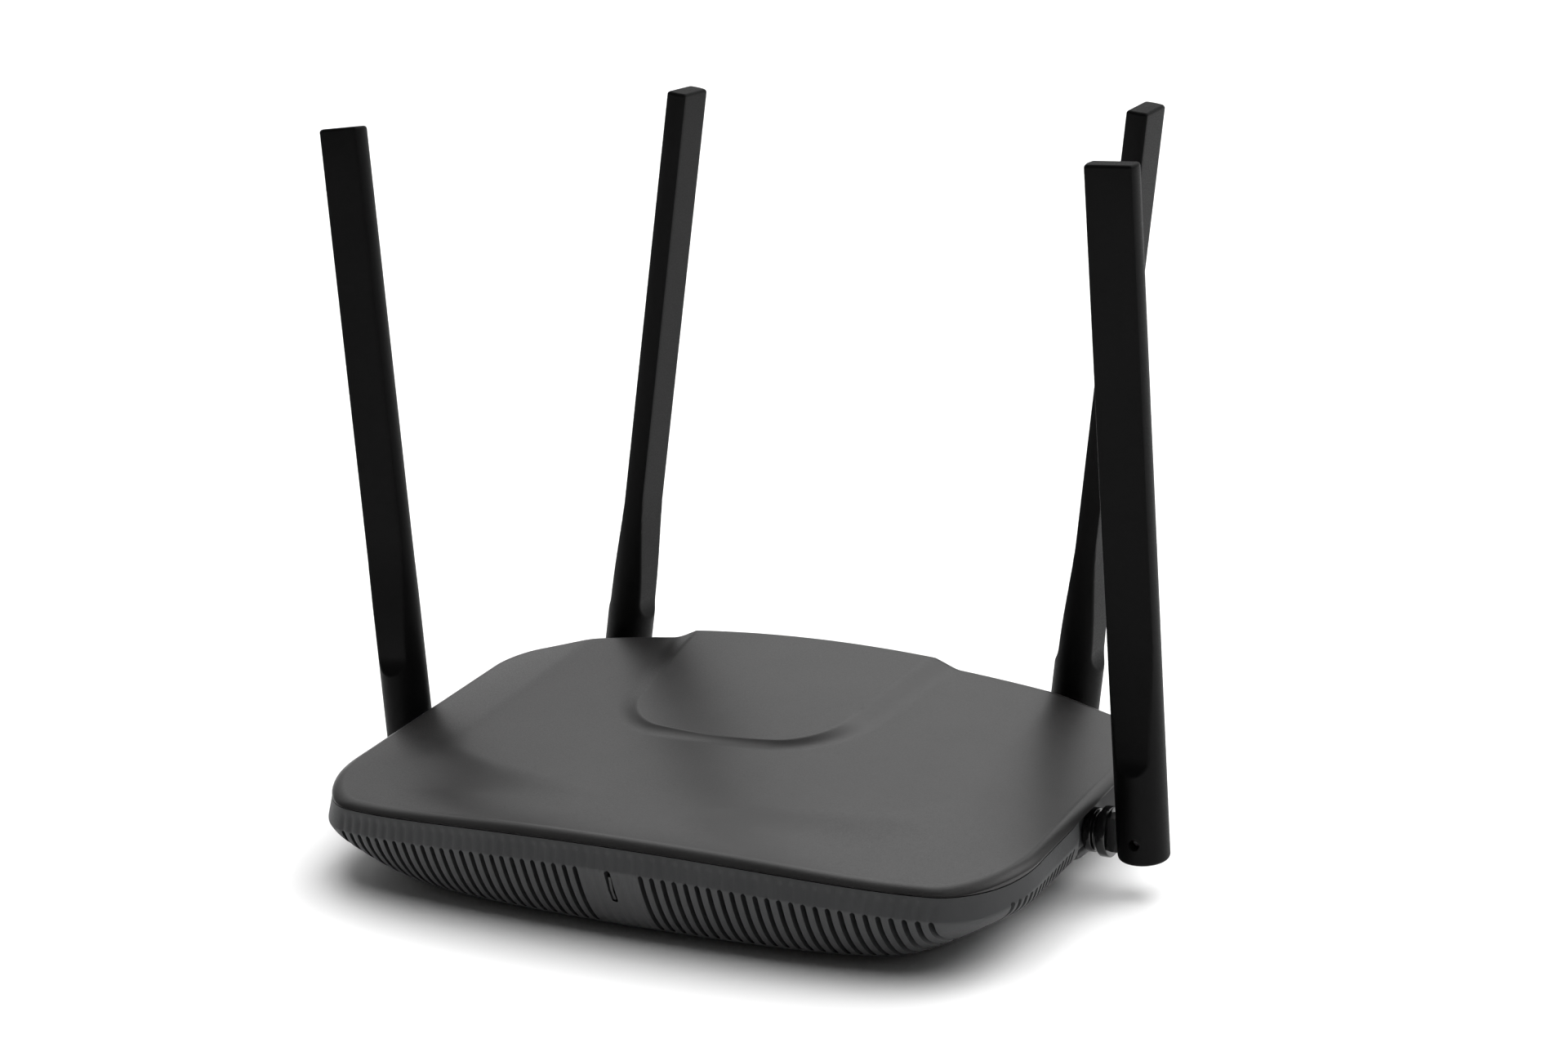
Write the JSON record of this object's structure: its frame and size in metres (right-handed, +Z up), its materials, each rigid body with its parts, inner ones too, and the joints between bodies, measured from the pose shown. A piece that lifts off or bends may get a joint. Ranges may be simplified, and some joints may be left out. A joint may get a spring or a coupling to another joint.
{
  "type": "wireless router",
  "caption": "Low black wireless router with a faceted cover, a slotted front wall, hinged paddle antennas on its sides and back, and network sockets, a power socket and buttons at the rear.",
  "frame": {"origin": "centre of the case's flat underside, 1.5 mm above the soles of its feet", "axes": "+X towards the router's right as it faces forwards, -Y towards its front, +Z up"},
  "size_m": [0.2753, 0.1578, 0.2085],
  "materials": {
    "cover_plastic": "satin moulded plastic",
    "case_plastic": "fine-grained matte plastic",
    "antenna_plastic": "matte moulded plastic",
    "knuckle_plastic": "glossy moulded plastic",
    "jack_plastic": "matte moulded plastic",
    "component_black": "epoxy packages",
    "circuit_board": "glass-epoxy laminate with solder mask",
    "rubber": "soft matte rubber",
    "steel": "zinc-plated steel",
    "tinplate": "bright tinned sheet",
    "aluminium": "satin anodised",
    "light_pipe_clear": "clear acrylic"
  },
  "bodies": {
    "housing": {"top_cover": "cover_plastic", "bottom_case": "case_plastic", "rubber_foot_1": "rubber", "rubber_foot_2": "rubber", "rubber_foot_3": "rubber", "rubber_foot_4": "rubber", "case_screw_1": "steel", "case_screw_2": "steel", "case_screw_3": "steel", "case_screw_4": "steel", "main_board": "circuit_board", "rf_shield_front": "tinplate", "rf_shield_side": "tinplate", "processor": "component_black", "heatsink": "aluminium", "memory_chip": "component_black", "lan_transformer": "component_black", "wan_transformer": "component_black", "power_inductor": "component_black", "capacitor_1": "aluminium", "capacitor_2": "aluminium", "board_screw_1": "steel", "board_screw_2": "steel", "lan_jack_block": "jack_plastic", "wan_jack": "jack_plastic", "power_jack": "jack_plastic", "power_switch": "jack_plastic", "wps_switch": "jack_plastic", "reset_switch": "jack_plastic", "light_pipe": "light_pipe_clear", "status_led": "light_pipe_clear", "right_antenna_cable": "antenna_plastic", "left_antenna_cable": "antenna_plastic", "rear_left_antenna_cable": "antenna_plastic", "rear_right_antenna_cable": "antenna_plastic"},
    "right_swivel": {"right_knuckle": "knuckle_plastic", "right_hinge_clip": "steel"},
    "right_antenna": {"right_antenna_shell": "antenna_plastic", "right_hinge_pin": "steel", "right_radiator": "circuit_board"},
    "left_swivel": {"left_knuckle": "knuckle_plastic", "left_hinge_clip": "steel"},
    "left_antenna": {"left_antenna_shell": "antenna_plastic", "left_hinge_pin": "steel", "left_radiator": "circuit_board"},
    "rear_left_swivel": {"rear_left_knuckle": "knuckle_plastic", "rear_left_hinge_clip": "steel"},
    "rear_left_antenna": {"rear_left_antenna_shell": "antenna_plastic", "rear_left_hinge_pin": "steel", "rear_left_radiator": "circuit_board"},
    "rear_right_swivel": {"rear_right_knuckle": "knuckle_plastic", "rear_right_hinge_clip": "steel"},
    "rear_right_antenna": {"rear_right_antenna_shell": "antenna_plastic", "rear_right_hinge_pin": "steel", "rear_right_radiator": "circuit_board"},
    "power_button_cap": {"power_button": "knuckle_plastic"},
    "wps_button_cap": {"wps_button": "knuckle_plastic"},
    "reset_plunger_body": {"reset_plunger": "jack_plastic"}
  },
  "joints": [
    {"name": "right_antenna_swivel", "type": "hinge", "parent": "housing", "child": "right_swivel", "pos_m": [0.1207, 0.0204, 0.016], "axis": [1, 0, 0], "range_deg": [-90, 90]},
    {"name": "right_antenna_tilt", "type": "hinge", "parent": "right_swivel", "child": "right_antenna", "pos_m": [0.1207, 0.0204, 0.016], "axis": [0, 1, 0], "range_deg": [-0.3, 90.7]},
    {"name": "left_antenna_swivel", "type": "hinge", "parent": "housing", "child": "left_swivel", "pos_m": [-0.1207, 0.0204, 0.016], "axis": [-1, 0, 0], "range_deg": [-97.7, 82.3]},
    {"name": "left_antenna_tilt", "type": "hinge", "parent": "left_swivel", "child": "left_antenna", "pos_m": [-0.1207, 0.0204, 0.016], "axis": [0, -0.991, 0.134], "range_deg": [-7, 84]},
    {"name": "rear_left_antenna_swivel", "type": "hinge", "parent": "housing", "child": "rear_left_swivel", "pos_m": [-0.0763, 0.0765, 0.0223], "axis": [0, 1, 0], "range_deg": [-99.9, 25.1]},
    {"name": "rear_left_antenna_tilt", "type": "hinge", "parent": "rear_left_swivel", "child": "rear_left_antenna", "pos_m": [-0.0763, 0.0765, 0.0223], "axis": [-0.9851, 0, 0.1719], "range_deg": [-4.3, 86.7]},
    {"name": "rear_right_antenna_swivel", "type": "hinge", "parent": "housing", "child": "rear_right_swivel", "pos_m": [0.0763, 0.0765, 0.0223], "axis": [0, 1, 0], "range_deg": [-44.2, 80.8]},
    {"name": "rear_right_antenna_tilt", "type": "hinge", "parent": "rear_right_swivel", "child": "rear_right_antenna", "pos_m": [0.0763, 0.0765, 0.0223], "axis": [-0.9871, 0, 0.1599], "range_deg": [-0.7, 90.3]},
    {"name": "power_button_press", "type": "slide", "parent": "housing", "child": "power_button_cap", "axis": [0, -1, 0], "range_m": [0, 0.0018], "stiffness_N_per_m": 800},
    {"name": "wps_button_press", "type": "slide", "parent": "housing", "child": "wps_button_cap", "axis": [0, -1, 0], "range_m": [0, 0.0007], "stiffness_N_per_m": 1800},
    {"name": "reset_press", "type": "slide", "parent": "housing", "child": "reset_plunger_body", "axis": [0, -1, 0], "range_m": [0, 0.0004], "stiffness_N_per_m": 2500}
  ]
}
